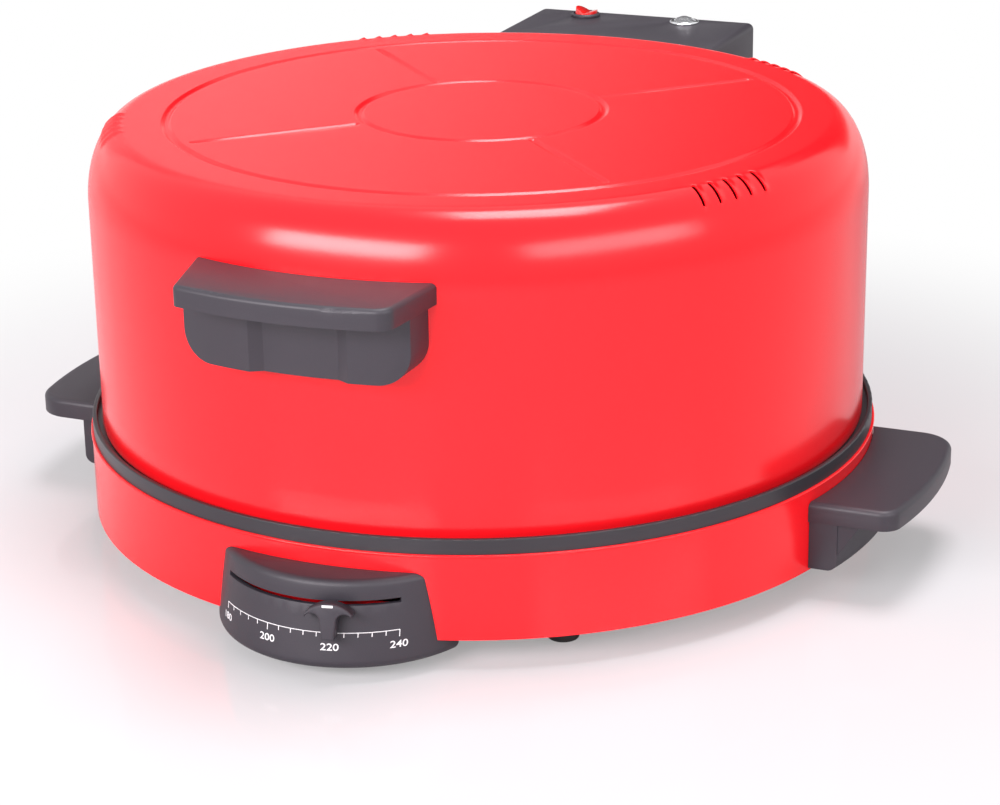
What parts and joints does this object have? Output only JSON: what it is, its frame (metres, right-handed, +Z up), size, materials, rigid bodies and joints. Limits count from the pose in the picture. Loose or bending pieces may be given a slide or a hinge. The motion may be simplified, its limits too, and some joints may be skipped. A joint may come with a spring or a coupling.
{
  "type": "roti maker",
  "caption": "Round countertop flatbread cooker: low base with non-stick plate and ledge handles, deep hinged lid with louvres and front grip, thermostat lever, rear box with switch and lamp",
  "frame": {"origin": "on the worktop, below the centre of the cooking plate", "axes": "+Z up, -Y towards the user with the lid handle and dial, +X to the user's right"},
  "size_m": [0.5166, 0.5105, 0.2334],
  "materials": {
    "red_enamel": "gloss red enamel on steel sheet",
    "nonstick": "dark non-stick coating on cast aluminium",
    "sheet_steel": "plain zinc-plated sheet",
    "screw_steel": "zinc-plated",
    "element_steel": "heater tube, oxidised",
    "dark_plastic": "dark warm grey, fine texture",
    "rubber": "black, matte",
    "white_plastic": "white, plain",
    "bakelite": "dark brown moulding",
    "rocker_red": "translucent red",
    "bright_trim": "bright plated",
    "clear_lens": "clear",
    "lamp_housing": "pale moulding"
  },
  "bodies": {
    "base": {"base_shell": "red_enamel", "bottom_cover": "sheet_steel", "cover_screws": "screw_steel", "feet": "rubber", "foot_screws": "screw_steel", "cooking_plate": "nonstick", "lower_element": "element_steel", "element_bars": "sheet_steel", "bar_screws": "screw_steel", "heat_shield": "sheet_steel", "spacer_sleeves": "sheet_steel", "tie_bolts": "screw_steel", "terminal_block": "white_plastic", "thermostat_bracket": "sheet_steel", "thermostat_body": "bakelite", "thermostat_housing": "dark_plastic", "dial_screws": "screw_steel", "side_handle_right": "dark_plastic", "side_handle_left": "dark_plastic", "side_handle_screws": "screw_steel", "hinge_base": "dark_plastic", "hinge_base_screws": "screw_steel", "hinge_pin": "screw_steel", "cord_gland": "rubber"},
    "lever": {"thermostat_shaft": "screw_steel", "lever_arm": "sheet_steel", "lever_knob": "dark_plastic"},
    "lid": {"lid_shell": "red_enamel", "lid_liner": "sheet_steel", "upper_element": "element_steel", "upper_bars": "sheet_steel", "upper_studs": "screw_steel", "lid_handle": "dark_plastic", "lid_handle_screws": "screw_steel", "hinge_strap": "sheet_steel", "strap_screws": "screw_steel", "hinge_box": "dark_plastic", "box_screws": "screw_steel", "switch_body": "dark_plastic", "lamp_bezel": "bright_trim", "lamp_lens": "clear_lens", "lamp_body": "lamp_housing"},
    "rocker": {"switch_rocker": "rocker_red"}
  },
  "joints": [
    {"name": "lid_hinge", "type": "hinge", "parent": "base", "child": "lid", "pos_m": [0, 0.24, 0.06], "axis": [-1, 0, 0], "range_deg": [0, 95]},
    {"name": "lever_pivot", "type": "hinge", "parent": "base", "child": "lever", "pos_m": [0.003, -0.1656, 0.0405], "axis": [0, 0, 1], "range_deg": [-53.5, 25.5]},
    {"name": "rocker_pivot", "type": "hinge", "parent": "lid", "child": "rocker", "pos_m": [-0.032, 0.2435, 0.2265], "axis": [0, -1, 0], "range_deg": [0, 16]}
  ]
}
